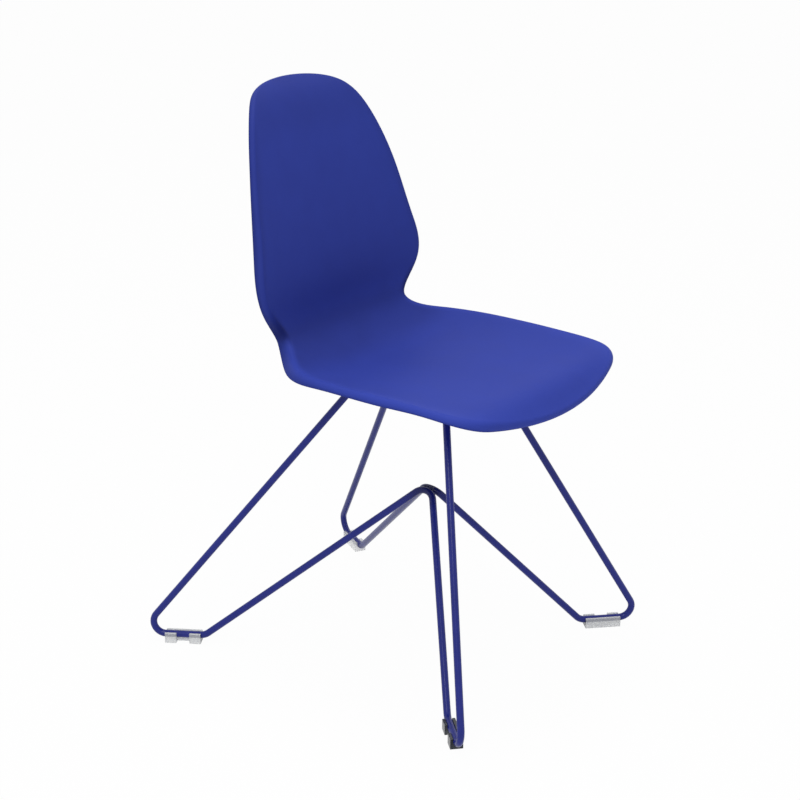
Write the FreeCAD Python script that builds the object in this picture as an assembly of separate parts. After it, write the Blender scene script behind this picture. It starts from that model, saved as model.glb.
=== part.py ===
import FreeCAD, Part
import math
import os
from FreeCAD import Vector

# A shell chair: one moulded plastic shell on a frame of two bent steel rods.
# Millimetres. X runs across the chair, -Y is its front, +Z is up and the floor is z = 0.

os.makedirs("parts", exist_ok=True)

# Shell
seat_height = 447.0        # top of the seat above the floor, over the mounting
shell_wall = 4.5           # wall of the moulding
dish_reference = 190.0     # distance from the middle line at which a station's dish is measured
dish_power = 2.4           # how late the dish rises towards the rim
rim_turn = 80.0            # degrees through which the rim rolls over
rim_edge = 3.0             # thickness at the free edge of the rim
crown_radius = 217.0       # plan radius of the top edge of the back at its middle
front_radius = 476.0       # plan radius of the front edge of the seat at its middle
seat_half_width = 192.5    # of the flat before the rim, at the seat's middle
back_half_width = 170.5    # the same at the middle of the back

# Rod frame
rod_diameter = 10.3
bend_radius = 19.0         # to the rod's centre line, at every bend
back_foot_outer = (244.7, 359.3)    # bend corners on the floor: across, behind the crossing
back_foot_inner = (194.3, 274.1)
front_foot_outer = (244.1, -224.1)
front_foot_inner = (179.0, -156.5)
crossing_height = 261.2    # corner of the bend where the two rods meet
back_leg_top = (44.0, 80.0)         # bend corners under the seat
front_leg_top = (57.5, -64.5)
rod_gap = 0.1              # left between the two rods where they are welded

# Mounting under the seat
boss_height = 8.0          # from the top of a strap to the seat height, less the wall
boss_radius = 9.5          # at its free end
boss_draft = 1.2           # growth of the radius towards the shell
boss_bury = 2.0            # depth that a boss runs into the wall
strap_thickness = 3.0
strap_width = 25.0
strap_screw_offset = 76.0  # screw axis from the middle line
rear_strap_y = 52.0
front_strap_y = -40.0
weld_leg = 2.4             # height of the weld between strap and rod
weld_reach = 4.4           # half width of that weld across the rod
bead_radius = 3.0          # weld in the valley where the rods meet
bead_length = 12.0

# Fasteners
thread_diameter = 6.0
screw_head_diameter = 11.5
screw_head_height = 3.6
screw_socket_width = 4.0
screw_socket_depth = 2.0
thread_engagement = 7.5    # length of screw inside the insert
washer_diameter = 12.5
washer_thickness = 1.6
washer_clearance = 0.4     # on the diameter, over the thread
strap_hole_clearance = 0.6
insert_diameter = 8.4
insert_length = 9.0
insert_groove = 0.4        # depth of the groove round the insert

# Glides
glide_base = 6.2           # plastic between the rod and the floor
glide_length = 54.0
glide_cheek = 3.8          # thickness of cheek and tabs beside the rod
glide_lip = 3.9            # height of cheek and tabs above the rod's centre
glide_mouth = 9.6          # opening between them that the rod snaps through
glide_tab_length = 17.0
glide_clearance = 0.05     # round the rod
glide_edge = 1.0           # chamfer round the sole
glide_lip_round = 0.8

# Stations down the middle of the shell, from the top edge of the back to the front edge
# of the seat. Each has: behind the crossing, above the seat, half width of the flat before
# the rim, dish, radius of the rolled rim, straight skirt below the roll.
# The two end stations take their width from crown_radius and front_radius.
stations = [
    ("top edge", 252.5, 375.5, 0.0, 8.5, 5.6, 1.1),
    ("top corner", 230.0, 359.5, 92.5, 8.0, 5.6, 2.4),
    ("shoulder", 206.5, 315.0, 127.5, 10.5, 5.6, 3.2),
    ("upper back", 186.0, 239.5, 153.5, 13.5, 5.6, 4.6),
    ("mid back", 168.0, 156.0, back_half_width, 14.0, 5.8, 7.5),
    ("elbow", 162.0, 93.0, 171.5, 18.5, 6.6, 5.8),
    ("waist", 157.5, 38.0, 135.0, 27.5, 6.6, 10.7),
    ("seat corner", 113.0, 0.0, 166.0, 28.0, 7.5, 12.4),
    ("seat rear", 43.0, -3.5, 191.0, 19.0, 8.0, 5.4),
    ("seat middle", -62.0, 2.5, seat_half_width, 11.5, 8.3, 4.6),
    ("seat front", -155.5, 5.0, 188.5, 5.5, 8.5, 3.2),
    ("front corner", -202.0, 1.5, 151.0, -3.0, 9.3, 3.8),
    ("front edge", -224.0, -18.0, 0.0, -8.5, 8.0, 0.5),
]
shortest_skirt = 0.5
cells_along = 20           # spans of the shell surface down the middle
cells_across = 12          # and across it
cells_roll = 2             # spans round the rolled rim

rod_radius = rod_diameter / 2
rod_floor_z = glide_base + rod_radius
strap_top_z = seat_height - shell_wall - boss_height
seat_run_z = strap_top_z - strap_thickness - rod_radius


def natural_slopes(values):
    """Slopes of the natural cubic through evenly spaced numbers or points."""
    n = len(values)
    upper, right = [0.5], [(values[1] - values[0]) * 1.5]
    for i in range(1, n):
        last = i == n - 1
        ahead = values[i] if last else values[i + 1]
        pivot = (2 if last else 4) - upper[-1]
        right.append(((ahead - values[i - 1]) * 3 - right[-1]) * (1 / pivot))
        upper.append(1 / pivot)
    slopes = [right[-1]]
    for i in range(n - 2, -1, -1):
        slopes.append(right[i] - slopes[-1] * upper[i])
    return slopes[::-1]


class Fair:
    """Natural cubic curve of one value over uneven places."""

    def __init__(self, places, values):
        n = len(places)
        step = [places[i + 1] - places[i] for i in range(n - 1)]
        rise = [(values[i + 1] - values[i]) / step[i] for i in range(n - 1)]
        bend, share = [0.0], [0.0]
        for i in range(1, n - 1):
            pivot = 2 * (step[i - 1] + step[i]) - step[i - 1] * share[-1]
            share.append(step[i] / pivot)
            bend.append((6 * (rise[i] - rise[i - 1]) - step[i - 1] * bend[-1]) / pivot)
        self.bends = [0.0] * n
        for i in range(n - 2, 0, -1):
            self.bends[i] = bend[i] - share[i] * self.bends[i + 1]
        self.places, self.values, self.step, self.rise = places, values, step, rise

    def span(self, at):
        i = 0
        while i < len(self.step) - 1 and at > self.places[i + 1]:
            i += 1
        return i, at - self.places[i]

    def value(self, at):
        i, t = self.span(at)
        h, m0, m1 = self.step[i], self.bends[i], self.bends[i + 1]
        slope = self.rise[i] - h * (2 * m0 + m1) / 6
        return self.values[i] + t * (slope + t * (m0 / 2 + t * (m1 - m0) / (6 * h)))

    def slope(self, at):
        i, t = self.span(at)
        h, m0, m1 = self.step[i], self.bends[i], self.bends[i + 1]
        return self.rise[i] - h * (2 * m0 + m1) / 6 + t * (m0 + t * (m1 - m0) / (2 * h))


class ShellForm:
    """The shell's upper face over a unit disc: across (-1 to 1) and along (-1 top, 1 front)."""

    def __init__(self):
        names, back, up, half, dish, roll, skirt = zip(*stations)
        run = [0.0]
        for i in range(1, len(stations)):
            run.append(run[-1] + math.hypot(back[i] - back[i - 1], up[i] - up[i - 1]))
        length = run[-1]
        place = [2 * r / length - 1 for r in run]
        width = [math.sqrt(crown_radius * length / 2)]
        width += [half[i] / math.sqrt(1 - place[i] ** 2) for i in range(1, len(place) - 1)]
        width += [math.sqrt(front_radius * length / 2)]
        self.back, self.up = Fair(place, back), Fair(place, up)
        self.width, self.dish = Fair(place, width), Fair(place, dish)
        self.roll_radius, self.skirt_length = Fair(place, roll), Fair(place, skirt)

    def point(self, across, along):
        dy, dz = self.back.slope(along), self.up.slope(along)
        size = math.hypot(dy, dz)
        x = across * self.width.value(along)
        lift = self.dish.value(along) * (abs(x) / dish_reference) ** dish_power
        return Vector(x, self.back.value(along) + lift * dz / size,
                      seat_height + self.up.value(along) - lift * dy / size)

    def normal(self, across, along):
        d = 0.0005
        side = self.point(across + d, along) - self.point(across - d, along)
        down = self.point(across, along + d) - self.point(across, along - d)
        return side.cross(down).normalize() * -1

    def rim(self, angle):
        """Rim at one place on the outline: rolled face, skirt, free edge and inner face."""
        across, along = math.cos(angle), math.sin(angle)
        d = 0.0005
        start = self.point(across, along)
        up = self.normal(across, along)
        edge = self.point(math.cos(angle + d), math.sin(angle + d)) \
            - self.point(math.cos(angle - d), math.sin(angle - d))
        out = edge.cross(up).normalize()
        if out.dot(start - self.point(across * 0.99, along * 0.99)) < 0:
            out = out * -1
        radius = self.roll_radius.value(along)
        skirt = max(self.skirt_length.value(along), shortest_skirt)
        turn = math.radians(rim_turn)
        rolled = []
        for i in range(cells_roll + 1):
            a = turn * i / cells_roll
            rolled.append(start + out * (radius * math.sin(a)) + up * (radius * (math.cos(a) - 1)))
        tip = rolled[-1] + (out * math.cos(turn) - up * math.sin(turn)) * skirt
        inner_tip = tip - (out * math.sin(turn) + up * math.cos(turn)) * rim_edge
        below = start - up * shell_wall
        return [rolled, [rolled[-1], tip], [tip, inner_tip], [inner_tip, below]]


def smooth_face(rows):
    """A face through a grid of points, even in both directions."""
    def curve_poles(points):
        third = [slope / 3 for slope in natural_slopes(points)]
        out = [points[0], points[0] + third[0]]
        for i in range(1, len(points) - 1):
            out.append((points[i] - third[i]) * 2 - (points[i - 1] + third[i - 1]))
        return out + [points[-1] - third[-1], points[-1]]

    def knots(count):
        return list(range(count)), [4] + [1] * (count - 2) + [4]

    half = [curve_poles(row) for row in rows]
    poles = [curve_poles(list(column)) for column in zip(*half)]
    along, along_times = knots(len(rows))
    over, over_times = knots(len(rows[0]))
    surface = Part.BSplineSurface()
    surface.buildFromPolesMultsKnots(poles, over_times, along_times, over, along,
                                     False, False, 3, 3)
    return surface.toShape()


def disc_place(a, b):
    """Spread a square evenly over the disc: a along, b across."""
    return b * math.sqrt(1 - a * a / 2), a * math.sqrt(1 - b * b / 2)


def make_shell(form):
    along = [2 * i / cells_along - 1 for i in range(cells_along + 1)]
    over = [2 * i / cells_across - 1 for i in range(cells_across + 1)]
    places = [[disc_place(a, b) for b in over] for a in along]
    upper = [[form.point(*p) for p in row] for row in places]
    lower = [[form.point(*p) - form.normal(*p) * shell_wall for p in row] for row in places]
    faces = [smooth_face(upper), smooth_face(lower)]
    edges = [places[0], places[-1], [row[0] for row in places], [row[-1] for row in places]]
    for edge in edges:
        rims = [form.rim(math.atan2(y, x)) for x, y in edge]
        for stretch in zip(*rims):
            faces.append(smooth_face(stretch))
    skin = Part.makeCompound(faces)
    skin.sewShape(0.02)
    solid = Part.Solid(Part.Shell(skin.Faces))
    if solid.Volume < 0:
        solid.reverse()
    return solid


def boss_places():
    for y in (rear_strap_y, front_strap_y):
        for side in (-1, 1):
            yield Vector(side * strap_screw_offset, y, strap_top_z)


def upright(radius, height, base, top_radius=None):
    """A round post standing on base, straight or tapered."""
    if top_radius is None:
        return Part.makeCylinder(radius, height, base)
    return Part.makeCone(radius, top_radius, height, base)


def wall_under(form, place):
    """Height of the shell's lower face over a place under the seat."""
    across = place.x / form.width.value(0.3)
    along = 0.3
    for _ in range(40):
        here = form.point(across, along) - form.normal(across, along) * shell_wall
        across += (place.x - here.x) / form.width.value(along)
        along += (place.y - here.y) / form.back.slope(along)
    return here.z


def add_bosses(shell, form):
    for place in boss_places():
        height = wall_under(form, place) + boss_bury - place.z
        boss = upright(boss_radius, height, place, boss_radius + boss_draft)
        shell = shell.fuse(boss)
    for place in boss_places():
        shell = shell.cut(upright(insert_diameter / 2, insert_length, place))
    return shell


def make_inserts():
    """Grooved brass sleeves in the bosses, threaded right through."""
    outer, bore = insert_diameter / 2, thread_diameter / 2
    third = insert_length / 3
    profile = [(bore, 0), (outer, 0), (outer, third), (outer - insert_groove, third),
               (outer - insert_groove, 2 * third), (outer, 2 * third),
               (outer, insert_length), (bore, insert_length)]
    return spun(profile)


def spun(profile):
    """The same turned piece at every boss, from a profile of radius and height."""
    pieces = []
    for place in boss_places():
        points = [place + Vector(r, 0, z) for r, z in profile]
        face = Part.Face(Part.makePolygon(points + [points[0]]))
        pieces.append(face.revolve(place, Vector(0, 0, 1), 360))
    return pieces


def make_washers():
    inner, outer = (thread_diameter + washer_clearance) / 2, washer_diameter / 2
    top = -strap_thickness
    low = top - washer_thickness
    return spun([(inner, low), (outer, low), (outer, top), (inner, top)])


def make_screws():
    """Round-headed screws with a hexagon socket, from under the straps."""
    shank, head = thread_diameter / 2, screw_head_diameter / 2
    seat = -strap_thickness - washer_thickness
    crown = screw_head_height / 3
    profile = [(0, seat - screw_head_height), (head - crown, seat - screw_head_height),
               (head, seat - screw_head_height + crown), (head, seat), (shank, seat),
               (shank, thread_engagement - 0.5), (shank - 0.5, thread_engagement),
               (0, thread_engagement)]
    screws = spun(profile)
    reach = screw_socket_width / math.sqrt(3)
    for i, place in enumerate(boss_places()):
        corners = [place + Vector(reach * math.cos(math.radians(60 * k)),
                                  reach * math.sin(math.radians(60 * k)),
                                  seat - screw_head_height) for k in range(7)]
        socket = Part.Face(Part.makePolygon(corners)).extrude(Vector(0, 0, screw_socket_depth))
        screws[i] = screws[i].cut(socket)
    return screws


def make_strap(y):
    """A flat bar with rounded ends across both rods, holed for its two screws."""
    half = strap_width / 2
    low = strap_top_z - strap_thickness
    bar = Part.makeBox(2 * strap_screw_offset, strap_width, strap_thickness,
                       Vector(-strap_screw_offset, y - half, low))
    hole = (thread_diameter + strap_hole_clearance) / 2
    for side in (-1, 1):
        bar = bar.fuse(upright(half, strap_thickness, Vector(side * strap_screw_offset, y, low)))
    for side in (-1, 1):
        bar = bar.cut(upright(hole, strap_thickness, Vector(side * strap_screw_offset, y, low)))
    return bar.removeSplitter()


def crossing_offset(side):
    """Across place of the rod's crossing corner, so that the bent rods just miss each other."""
    target = rod_radius + rod_gap / 2
    across = 0.0
    for _ in range(30):
        back, front = rod_corners(side, across)[2], rod_corners(side, across)[4]
        corner = Vector(side * across, 0, crossing_height)
        start, middle, end = bend_points(back, corner, front)
        across += target - abs(middle.x)
    return across


def rod_corners(side, across):
    """Bend corners of one rod, from the seat by the back foot and the front foot to the seat."""
    def at(place, z):
        return Vector(side * place[0], place[1], z)

    return [at(back_leg_top, seat_run_z), at(back_foot_outer, rod_floor_z),
            at(back_foot_inner, rod_floor_z), Vector(side * across, 0, crossing_height),
            at(front_foot_inner, rod_floor_z), at(front_foot_outer, rod_floor_z),
            at(front_leg_top, seat_run_z)]


def bend_points(before, corner, after):
    """Start, middle and end of the bend's centre line at a corner."""
    one, two = (before - corner).normalize(), (after - corner).normalize()
    half = one.getAngle(two) / 2
    axis = (one + two).normalize()
    start = corner + one * (bend_radius / math.tan(half))
    end = corner + two * (bend_radius / math.tan(half))
    middle = corner + axis * (bend_radius / math.sin(half) - bend_radius)
    return start, middle, end


def make_rod(side):
    """One closed loop of bent rod: seat run, back foot, crossing, front foot."""
    corners = rod_corners(side, crossing_offset(side))
    count = len(corners)
    bends = [bend_points(corners[i - 1], corners[i], corners[(i + 1) % count])
             for i in range(count)]
    join = (bends[-1][2] + bends[0][0]) * 0.5
    top = bends[3][1]

    def tube(path):
        edges = []
        for piece in path:
            if len(piece) == 2:
                edges.append(Part.makeLine(*piece))
            else:
                edges.append(Part.Arc(*piece).toShape())
        wire = Part.Wire(edges)
        begin = edges[0].valueAt(edges[0].FirstParameter)
        heading = edges[0].tangentAt(edges[0].FirstParameter)
        ring = Part.Wire(Part.makeCircle(rod_radius, begin, heading))
        return wire.makePipeShell([ring], True, False)

    def half_bend(bend, first):
        """The stretch of a bend before or after its middle."""
        arc = Part.Arc(*bend)
        low, high = arc.FirstParameter, arc.LastParameter
        mid = (low + high) / 2
        span = (low, mid) if first else (mid, high)
        points = [arc.value(span[0]), arc.value((span[0] + span[1]) / 2), arc.value(span[1])]
        return points

    back = [(join, bends[0][0]), bends[0], (bends[0][2], bends[1][0]), bends[1],
            (bends[1][2], bends[2][0]), bends[2], (bends[2][2], bends[3][0]),
            half_bend(bends[3], True)]
    front = [half_bend(bends[3], False), (bends[3][2], bends[4][0]), bends[4],
             (bends[4][2], bends[5][0]), bends[5], (bends[5][2], bends[6][0]), bends[6],
             (bends[6][2], join)]
    return tube(back).fuse(tube(front)), bends, top


def make_welds(rods, tops):
    """Fillets of weld: beside each rod under each strap, and in the valley at the crossing."""
    welds = []
    low = strap_top_z - strap_thickness
    for side, rod in rods.items():
        for y in (rear_strap_y, front_strap_y):
            share = (y - back_leg_top[1]) / (front_leg_top[1] - back_leg_top[1])
            x = side * (back_leg_top[0] + share * (front_leg_top[0] - back_leg_top[0]))
            turn = -side * math.degrees(math.atan2(front_leg_top[0] - back_leg_top[0],
                                                   back_leg_top[1] - front_leg_top[1]))
            block = Part.makeBox(2 * weld_reach, strap_width - 2, weld_leg,
                                 Vector(x - weld_reach, y - strap_width / 2 + 1, low - weld_leg))
            block.rotate(Vector(x, y, low), Vector(0, 0, 1), -turn)
            welds += block.cut(rod).Solids
    valley = Vector(0, tops[1].y, (tops[1].z + tops[-1].z) / 2 + rod_radius * 0.62)
    reach = Vector(0, bead_length / 2, 0)
    bead = Part.makeCylinder(bead_radius, bead_length, valley - reach, Vector(0, 1, 0))
    for end in (valley - reach, valley + reach):
        bead = bead.fuse(Part.makeSphere(bead_radius, end))
    for rod in rods.values():
        bead = bead.cut(rod)
    welds += [max(bead.Solids, key=lambda piece: piece.Volume)]
    return welds


def make_glide(side, bends, outer_bend, inner_bend):
    """A clip-on glide: sole under the rod, a whole cheek inside and two tabs outside."""
    flat = [point for bend in (bends[outer_bend], bends[inner_bend])
            for point in (bend[0], bend[2]) if abs(point.z - rod_floor_z) < 0.001]
    middle = (flat[0] + flat[1]) * 0.5
    outward = Vector(0, 0, 1).cross(flat[1] - flat[0]).normalize()
    if outward.x * side < 0:
        outward = outward * -1
    along = outward.cross(Vector(0, 0, 1))
    width = rod_diameter + 2 * glide_cheek
    height = rod_floor_z + glide_lip
    block = Part.makeBox(glide_length, width, height, Vector(-glide_length / 2, -width / 2, 0))
    sole = [edge for edge in block.Edges if edge.BoundBox.ZMax < 0.001]
    block = block.makeChamfer(glide_edge, sole)
    lips = [edge for edge in block.Edges
            if edge.BoundBox.ZMin > height - 0.001 and edge.BoundBox.XLength > glide_length / 2]
    block = block.makeFillet(glide_lip_round, lips)
    channel = Part.makeCylinder(rod_radius + glide_clearance, glide_length,
                                Vector(-glide_length / 2, 0, rod_floor_z), Vector(1, 0, 0))
    mouth = Part.makeBox(glide_length, glide_mouth, height,
                         Vector(-glide_length / 2, -glide_mouth / 2, rod_floor_z))
    gap = glide_length - 2 * glide_tab_length
    notch = Part.makeBox(gap, width, height, Vector(-gap / 2, 0, 0))
    block = block.cut(channel).cut(mouth).cut(notch)
    block.Placement = FreeCAD.Placement(FreeCAD.Matrix(
        along.x, outward.x, 0, middle.x, along.y, outward.y, 0, middle.y,
        0, 0, 1, 0, 0, 0, 0, 1))
    return block


form = ShellForm()
nodes = {"shell": add_bosses(make_shell(form), form)}
nodes["threaded_inserts"] = Part.makeCompound(make_inserts())
nodes["screws"] = Part.makeCompound(make_screws())
nodes["washers"] = Part.makeCompound(make_washers())
nodes["strap_rear"] = make_strap(rear_strap_y)
nodes["strap_front"] = make_strap(front_strap_y)

rods, tops, side_names = {}, {}, {-1: "right", 1: "left"}
for side, name in side_names.items():
    rods[side], bends, tops[side] = make_rod(side)
    nodes["rod_" + name] = rods[side]
    nodes["glide_back_" + name] = make_glide(side, bends, 1, 2)
    nodes["glide_front_" + name] = make_glide(side, bends, 5, 4)
nodes["welds"] = Part.makeCompound(make_welds(rods, tops))

# The origin is on the floor, half way between the foremost and the rearmost point.
boxes = [nodes[name].optimalBoundingBox(False) for name in ("shell", "rod_left", "rod_right")]
middle_y = (min(box.YMin for box in boxes) + max(box.YMax for box in boxes)) / 2
for name, shape in nodes.items():
    shape.translate(Vector(0, -middle_y, 0))
    shape.exportStep("parts/" + name + ".step")
    print(name, "solids", len(shape.Solids), "volume", round(shape.Volume), shape.isValid())
print("middle behind the crossing", round(middle_y, 2), "crossing corner", round(crossing_offset(1), 2))
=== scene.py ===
# %% [markdown]
# # A moulded shell chair on a bent rod frame
# This lesson dresses a finished construction model of a chair. The model gives the true
# sizes, and each step below adds what the eye looks for: the soft rolled rim of the
# plastic shell, the smooth bends and gloss of the painted rods, the welds, the screws and
# the clear glides under the feet. Lengths are written in millimetres and turned into
# metres when a mesh is made.

# %% Load the construction model
import math
import bpy
import bmesh
import numpy as np
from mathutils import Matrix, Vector


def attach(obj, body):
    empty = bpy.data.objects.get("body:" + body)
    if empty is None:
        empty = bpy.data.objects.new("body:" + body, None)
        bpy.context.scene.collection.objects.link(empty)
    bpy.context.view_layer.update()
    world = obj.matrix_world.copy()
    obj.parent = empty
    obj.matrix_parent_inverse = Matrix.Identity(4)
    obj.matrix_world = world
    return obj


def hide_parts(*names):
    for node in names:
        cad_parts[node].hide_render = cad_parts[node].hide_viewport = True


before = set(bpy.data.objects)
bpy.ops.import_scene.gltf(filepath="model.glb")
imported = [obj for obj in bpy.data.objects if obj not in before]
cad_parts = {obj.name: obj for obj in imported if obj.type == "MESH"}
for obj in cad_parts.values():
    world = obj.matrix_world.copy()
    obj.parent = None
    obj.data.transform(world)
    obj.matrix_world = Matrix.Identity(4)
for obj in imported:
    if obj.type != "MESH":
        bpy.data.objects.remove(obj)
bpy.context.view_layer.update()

print("construction nodes:", ", ".join(sorted(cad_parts)))

# %% [markdown]
# ## A shared way to make objects
# Every piece is a mesh whose object stays at the origin, unturned, so its place is in its
# vertices and patterns that read object coordinates stay still. The helper takes
# millimetres measured from the point where the two rods cross, because all the chair's
# dimensions start there, and moves them to the frame of the construction model. A pattern
# that will be repeated, such as a screw, is drawn round its own middle instead.

# %% A mesh from points and faces
crossing = np.array([0.0, -60.42, 0.0])   # from the middle of the chair to the crossing


def place(points):
    """Millimetres from the crossing to metres in the model's frame."""
    return (np.asarray(points, float).reshape(-1, 3) + crossing) / 1000


def add_object(name, data):
    made = bpy.data.objects.new(name, data)
    bpy.context.scene.collection.objects.link(made)
    return made


def mesh_object(name, points, faces=(), edges=(), smooth=True, pattern=False):
    """A mesh from millimetres: from the crossing, or for a pattern from its own middle."""
    spots = place(np.asarray(points, float) - (crossing if pattern else 0))
    mesh = bpy.data.meshes.new(name)
    mesh.from_pydata(spots.tolist(), [tuple(map(int, e)) for e in edges],
                     [tuple(map(int, f)) for f in faces], shade_flat=not smooth)
    mesh.validate()
    return add_object(name, mesh)


def flatten(source, name):
    """The evaluated object as a plain mesh object, and the source is removed."""
    depsgraph = bpy.context.evaluated_depsgraph_get()
    mesh = bpy.data.meshes.new_from_object(source.evaluated_get(depsgraph))
    mesh.name = name
    bpy.data.objects.remove(source)
    return add_object(name, mesh)


# %% [markdown]
# ## Writing shaders as sums
# A finish is easier to read as arithmetic than as a web of nodes. One small class wraps a
# socket, so that adding or multiplying two of them places the Math node, and one method
# makes every other node from its type, its settings and its inputs.

# %% Sockets that add and multiply
class Value:
    """The output of a shader node, for sums with numbers and other outputs."""

    def __init__(self, finish, socket):
        self.finish, self.socket = finish, socket

    def maths(self, operation, first, second, clamp=False):
        settings = {"operation": operation, "use_clamp": clamp}
        return self.finish.node("ShaderNodeMath", settings, {0: first, 1: second})

    def __add__(self, other):
        return self.maths("ADD", self, other)

    def __sub__(self, other):
        return self.maths("SUBTRACT", self, other)

    def __rsub__(self, other):
        return self.maths("SUBTRACT", other, self)

    def __mul__(self, other):
        return self.maths("MULTIPLY", self, other)

    def clamped(self):
        """Held between 0 and 1."""
        return self.maths("ADD", self, 0.0, clamp=True)

    __radd__, __rmul__ = __add__, __mul__


# %% A finish and its nodes
class Finish:
    """The shader tree of a new material, or with owners="worlds" that of the room."""

    def __init__(self, name, owners="materials"):
        self.owner = getattr(bpy.data, owners).new(name)
        self.owner.use_nodes = True
        self.tree = self.owner.node_tree
        self.tree.nodes.clear()

    def node(self, kind, settings=None, inputs=None, out=0):
        """One node, its settings first and then its inputs: numbers or other outputs."""
        made = self.tree.nodes.new(kind)
        for key, value in (settings or {}).items():
            setattr(made, key, value)
        for key, value in (inputs or {}).items():
            if isinstance(value, Value):
                self.tree.links.new(value.socket, made.inputs[key])
            else:
                made.inputs[key].default_value = value
        return Value(self, made.outputs[out])

    def place(self):
        """Object coordinates, in metres."""
        return self.node("ShaderNodeTexCoord", out="Object")

    def noise(self, size, detail=2.0, stretch=None, rough=0.5):
        """Noise with features of a size in millimetres, about 0 to 1."""
        where = self.place()
        if stretch:
            where = self.node("ShaderNodeMapping", {}, {"Vector": where, "Scale": stretch})
        return self.node("ShaderNodeTexNoise", {}, {
            "Vector": where, "Scale": 1000.0 / size, "Detail": detail, "Roughness": rough})

    def attribute(self, name):
        return self.node("ShaderNodeAttribute", {"attribute_name": name}, out="Fac")

    def blend(self, factor, one, two):
        """A colour between two colours."""
        return self.node("ShaderNodeMix", {"data_type": "RGBA"},
                         {0: factor, 6: one, 7: two}, out=2)

    def bump(self, height, distance, strength, under=None):
        """Bumps of a depth in millimetres, on top of other bumps where they are given."""
        inputs = {"Height": height, "Distance": distance / 1000, "Strength": strength}
        if under:
            inputs["Normal"] = under
        return self.node("ShaderNodeBump", {}, inputs)

    def close(self, surface, kind="Material"):
        """Links the surface to the output, and gives back what owns the tree."""
        output = self.tree.nodes.new("ShaderNodeOutput" + kind)
        self.tree.links.new(surface.socket, output.inputs["Surface"])
        return self.owner

    def finish(self, **inputs):
        """Closes the tree with one Principled shader. Words in names stand for spaces."""
        named = {key.replace("_", " "): value for key, value in inputs.items()}
        return self.close(self.node("ShaderNodeBsdfPrincipled", {}, named))


# %% [markdown]
# ## Satin plastic for the shell
# The shell is moulded in blue polypropylene. Its tool is spark eroded, which leaves a fine
# even grain that scatters light, so the surface is satin and never mirrors the room. The
# colour has a faint mottle where the melt cooled at different speeds. Light and shade are
# also painted into the colour: painted light on the front of the seat and on its rim,
# painted shade on the top of the back, on the back's rim and in the fold, a dark painted
# shade in the crease of the waist, and a darker free edge of the rim.

# %% The shell's finish
def shell_finish():
    f = Finish("satin_blue_plastic")
    rim, under, sat_on, handled, rubbed, grime = (f.attribute(name) for name in (
        "rim", "under", "sat_on", "handled", "rubbed", "grime"))
    deep, light = (0.0205, 0.034, 0.226, 1.0), (0.036, 0.061, 0.396, 1.0)
    speck_blue, under_blue = (0.060, 0.090, 0.46, 1.0), (0.022, 0.033, 0.24, 1.0)
    shade_and_edge_blue = (0.008, 0.011, 0.075, 1.0)
    mottle, flow = f.noise(38.0, 3.0), f.noise(120.0, stretch=(1.0, 0.35, 0.35))
    # The tone adds painted light on the front of the seat and its rim, and takes painted
    # shade off the top of the back, the back's rim and the fold.
    tone = (mottle * 0.25 + flow * 0.25 + 0.26 + sat_on * 0.28 + rubbed * 0.22
            - handled * 0.42)
    colour = f.blend(tone.clamped(), deep, light)
    colour = f.blend(f.noise(0.9) * 0.10, colour, speck_blue)
    colour = f.blend(under * 0.25, colour, under_blue)
    # A dark painted shade in the crease of the waist, and a darker free edge of the rim.
    colour = f.blend(grime * 0.8, colour, shade_and_edge_blue)
    grain, waves = f.noise(0.55, 3.0, rough=0.6), f.noise(22.0)
    normal = f.bump(waves, 0.10, 0.30, under=f.bump(grain, 0.05, 0.35))
    roughness = 0.58 + mottle * 0.06 + grain * 0.05 - rim * 0.05
    return f.finish(Base_Color=colour, Roughness=roughness, Normal=normal,
                    Specular_IOR_Level=0.09, IOR=1.49)


satin_plastic = shell_finish()
print("finish:", satin_plastic.name, "with", len(satin_plastic.node_tree.nodes), "nodes")

# %% [markdown]
# ## The form of the shell
# The shell is one sheet that runs down the back, turns at the waist and runs forward as
# the seat. Thirteen stations down its middle line say where it is, how wide and how dished
# it is, and how deep its rim rolls over. A natural cubic joins the stations, so the form
# has no kinks. This is the same rule as in the construction model, sampled much finer.

# %% The stations
stations = np.array([
    # behind the crossing, above the seat, half width, dish, roll radius, skirt
    (252.5, 375.5, 0.0, 8.5, 5.6, 1.1),        # top edge
    (230.0, 359.5, 92.5, 8.0, 5.6, 2.4),       # top corner
    (206.5, 315.0, 127.5, 10.5, 5.6, 3.2),     # shoulder
    (186.0, 239.5, 153.5, 13.5, 5.6, 4.6),     # upper back
    (168.0, 156.0, 170.5, 14.0, 5.8, 7.5),     # mid back
    (162.0, 93.0, 171.5, 18.5, 6.6, 5.8),      # elbow
    (157.5, 38.0, 135.0, 27.5, 6.6, 10.7),     # waist
    (113.0, 0.0, 166.0, 28.0, 7.5, 12.4),      # seat corner
    (43.0, -3.5, 191.0, 19.0, 8.0, 5.4),       # seat rear
    (-62.0, 2.5, 192.5, 11.5, 8.3, 4.6),       # seat middle
    (-155.5, 5.0, 188.5, 5.5, 8.5, 3.2),       # seat front
    (-202.0, 1.5, 151.0, -3.0, 9.3, 3.8),      # front corner
    (-224.0, -18.0, 0.0, -8.5, 8.0, 0.5),      # front edge
])
seat_height, wall, edge_thickness = 447.0, 4.5, 3.0
dish_reference, dish_power, rim_turn = 190.0, 2.4, math.radians(80)
crown_radius, front_radius, shortest_skirt = 217.0, 476.0, 0.5
print("stations:", len(stations), "and a wall of", wall, "mm")


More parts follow.
